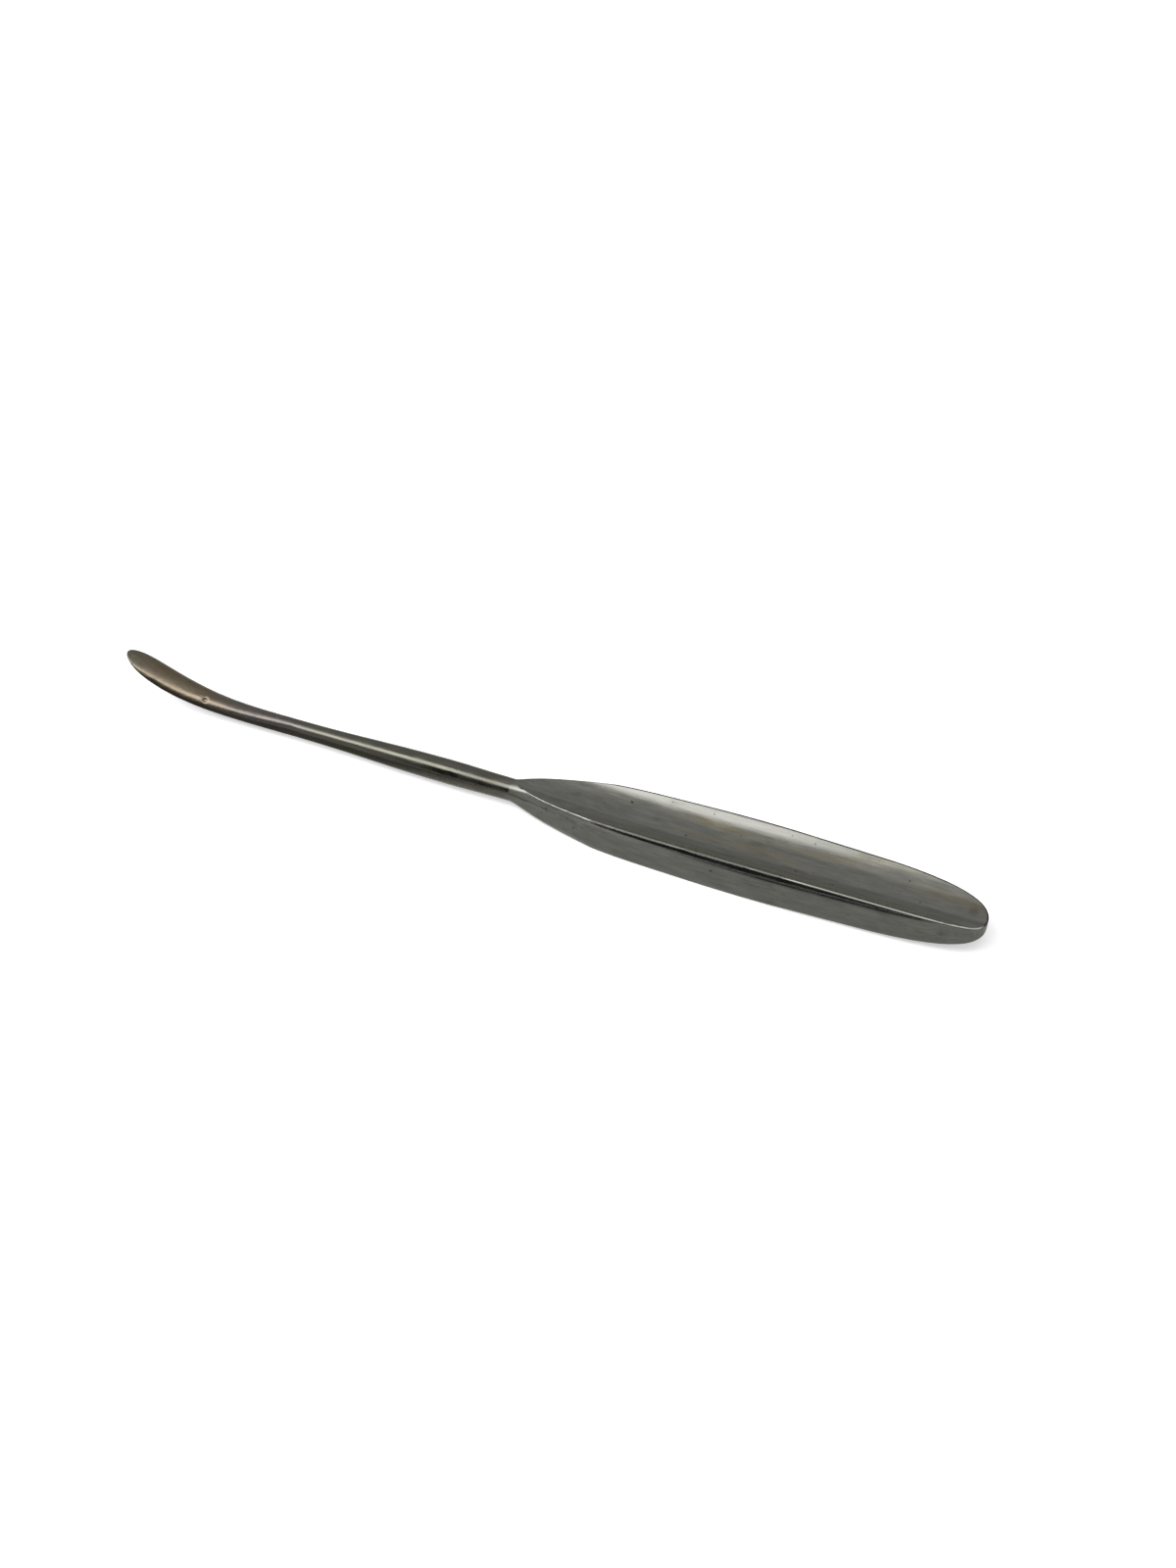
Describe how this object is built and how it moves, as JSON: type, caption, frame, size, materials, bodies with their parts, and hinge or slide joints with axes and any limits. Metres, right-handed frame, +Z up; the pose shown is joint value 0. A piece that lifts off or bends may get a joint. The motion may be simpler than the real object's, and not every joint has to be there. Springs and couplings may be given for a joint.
{
  "type": "periosteal elevator",
  "caption": "Forged steel hand instrument with a leaf-shaped handle dished on both faces, a round shank and a narrow upturned blade for lifting tissue off bone.",
  "frame": {"origin": "middle of the outer size in plan, on the surface that the instrument lies on", "axes": "+X along the instrument from the blade tip towards the butt of the handle, +Y across it, +Z up out of the handle's upper dish, the way the blade curves"},
  "size_m": [0.19, 0.0158, 0.0107],
  "materials": {
    "forged_steel": "satin, worn and slightly stained"
  },
  "bodies": {
    "root": {"elevator": "forged_steel"}
  },
  "joints": []
}
